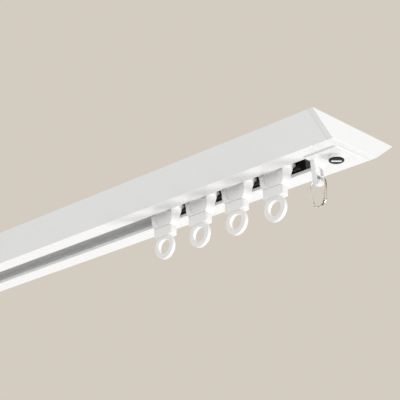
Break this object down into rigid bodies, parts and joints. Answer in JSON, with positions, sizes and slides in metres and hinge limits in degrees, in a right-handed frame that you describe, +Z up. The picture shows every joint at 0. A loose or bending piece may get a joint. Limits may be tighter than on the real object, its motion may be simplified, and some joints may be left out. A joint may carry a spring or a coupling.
{
  "type": "ceiling curtain track",
  "caption": "Slotted ceiling track with sloping sides, capped ends, roller gliders with swivelling ring eyelets, and clamped end stops with wire links.",
  "frame": {"origin": "middle of the face that lies against the ceiling", "axes": "+X along the track towards the end where the gliders are parked, +Y to the back, +Z up to the ceiling"},
  "size_m": [0.6, 0.05, 0.0289],
  "materials": {
    "track_white": "satin white coating",
    "fitting_white": "smooth moulded white",
    "glider_white": "slippery moulded white",
    "carriage_black": "moulded black",
    "cover_black": "polished black",
    "plain_steel": "zinc plated",
    "bright_wire": "bright plated wire"
  },
  "bodies": {
    "track": {"track_profile": "track_white", "end_cap_right": "fitting_white", "end_stop_right": "fitting_white", "stop_clamp_plate_right": "plain_steel", "stop_screw_right": "plain_steel", "stop_cover_right": "cover_black", "end_cap_left": "fitting_white", "end_stop_left": "fitting_white", "stop_clamp_plate_left": "plain_steel", "stop_screw_left": "plain_steel", "stop_cover_left": "cover_black"},
    "link_right": {"hook_link_right": "bright_wire"},
    "link_left": {"hook_link_left": "bright_wire"},
    "glider_1": {"hanger_1": "glider_white", "carriage_1": "carriage_black"},
    "wheelset_1_left": {"axle_1_left": "plain_steel", "wheel_1_left_front": "carriage_black", "wheel_1_left_back": "carriage_black"},
    "wheelset_1_right": {"axle_1_right": "plain_steel", "wheel_1_right_front": "carriage_black", "wheel_1_right_back": "carriage_black"},
    "eyelet_1": {"eyelet_1": "glider_white", "swivel_pin_1": "plain_steel"},
    "glider_2": {"hanger_2": "glider_white", "carriage_2": "carriage_black"},
    "wheelset_2_left": {"axle_2_left": "plain_steel", "wheel_2_left_front": "carriage_black", "wheel_2_left_back": "carriage_black"},
    "wheelset_2_right": {"axle_2_right": "plain_steel", "wheel_2_right_front": "carriage_black", "wheel_2_right_back": "carriage_black"},
    "eyelet_2": {"eyelet_2": "glider_white", "swivel_pin_2": "plain_steel"},
    "glider_3": {"hanger_3": "glider_white", "carriage_3": "carriage_black"},
    "wheelset_3_left": {"axle_3_left": "plain_steel", "wheel_3_left_front": "carriage_black", "wheel_3_left_back": "carriage_black"},
    "wheelset_3_right": {"axle_3_right": "plain_steel", "wheel_3_right_front": "carriage_black", "wheel_3_right_back": "carriage_black"},
    "eyelet_3": {"eyelet_3": "glider_white", "swivel_pin_3": "plain_steel"},
    "glider_4": {"hanger_4": "glider_white", "carriage_4": "carriage_black"},
    "wheelset_4_left": {"axle_4_left": "plain_steel", "wheel_4_left_front": "carriage_black", "wheel_4_left_back": "carriage_black"},
    "wheelset_4_right": {"axle_4_right": "plain_steel", "wheel_4_right_front": "carriage_black", "wheel_4_right_back": "carriage_black"},
    "eyelet_4": {"eyelet_4": "glider_white", "swivel_pin_4": "plain_steel"}
  },
  "joints": [
    {"name": "glider_4_slide", "type": "slide", "parent": "track", "child": "glider_4", "axis": [1, 0, 0], "range_m": [-0.1157, 0.0112]},
    {"name": "glider_3_slide", "type": "slide", "parent": "glider_4", "child": "glider_3", "axis": [1, 0, 0], "range_m": [-0.1157, 0.0001]},
    {"name": "glider_2_slide", "type": "slide", "parent": "glider_3", "child": "glider_2", "axis": [1, 0, 0], "range_m": [-0.1157, 0.0001]},
    {"name": "glider_1_slide", "type": "slide", "parent": "glider_2", "child": "glider_1", "axis": [1, 0, 0], "range_m": [-0.1157, 0.0001]},
    {"name": "wheelset_1_left_roll", "type": "hinge", "parent": "glider_1", "child": "wheelset_1_left", "pos_m": [0.1881, 0, -0.00495], "axis": [0, 1, 0], "continuous": true},
    {"name": "wheelset_1_right_roll", "type": "hinge", "parent": "glider_1", "child": "wheelset_1_right", "pos_m": [0.1987, 0, -0.00495], "axis": [0, 1, 0], "continuous": true},
    {"name": "eyelet_1_swivel", "type": "hinge", "parent": "glider_1", "child": "eyelet_1", "pos_m": [0.1934, 0, -0.01425], "axis": [0, 0, 1], "continuous": true},
    {"name": "wheelset_2_left_roll", "type": "hinge", "parent": "glider_2", "child": "wheelset_2_left", "pos_m": [0.20975, 0, -0.00495], "axis": [0, 1, 0], "continuous": true},
    {"name": "wheelset_2_right_roll", "type": "hinge", "parent": "glider_2", "child": "wheelset_2_right", "pos_m": [0.22035, 0, -0.00495], "axis": [0, 1, 0], "continuous": true},
    {"name": "eyelet_2_swivel", "type": "hinge", "parent": "glider_2", "child": "eyelet_2", "pos_m": [0.21505, 0, -0.01425], "axis": [0, 0, 1], "continuous": true},
    {"name": "wheelset_3_left_roll", "type": "hinge", "parent": "glider_3", "child": "wheelset_3_left", "pos_m": [0.2314, 0, -0.00495], "axis": [0, 1, 0], "continuous": true},
    {"name": "wheelset_3_right_roll", "type": "hinge", "parent": "glider_3", "child": "wheelset_3_right", "pos_m": [0.242, 0, -0.00495], "axis": [0, 1, 0], "continuous": true},
    {"name": "eyelet_3_swivel", "type": "hinge", "parent": "glider_3", "child": "eyelet_3", "pos_m": [0.2367, 0, -0.01425], "axis": [0, 0, 1], "continuous": true},
    {"name": "wheelset_4_left_roll", "type": "hinge", "parent": "glider_4", "child": "wheelset_4_left", "pos_m": [0.25305, 0, -0.00495], "axis": [0, 1, 0], "continuous": true},
    {"name": "wheelset_4_right_roll", "type": "hinge", "parent": "glider_4", "child": "wheelset_4_right", "pos_m": [0.26365, 0, -0.00495], "axis": [0, 1, 0], "continuous": true},
    {"name": "eyelet_4_swivel", "type": "hinge", "parent": "glider_4", "child": "eyelet_4", "pos_m": [0.25835, 0, -0.01425], "axis": [0, 0, 1], "continuous": true},
    {"name": "link_right_swing", "type": "hinge", "parent": "track", "child": "link_right", "pos_m": [0.28115, 0, -0.0161], "axis": [1, 0, 0], "range_deg": [-110, 110]},
    {"name": "link_left_swing", "type": "hinge", "parent": "track", "child": "link_left", "pos_m": [-0.28115, 0, -0.0161], "axis": [1, 0, 0], "range_deg": [-110, 110]}
  ]
}
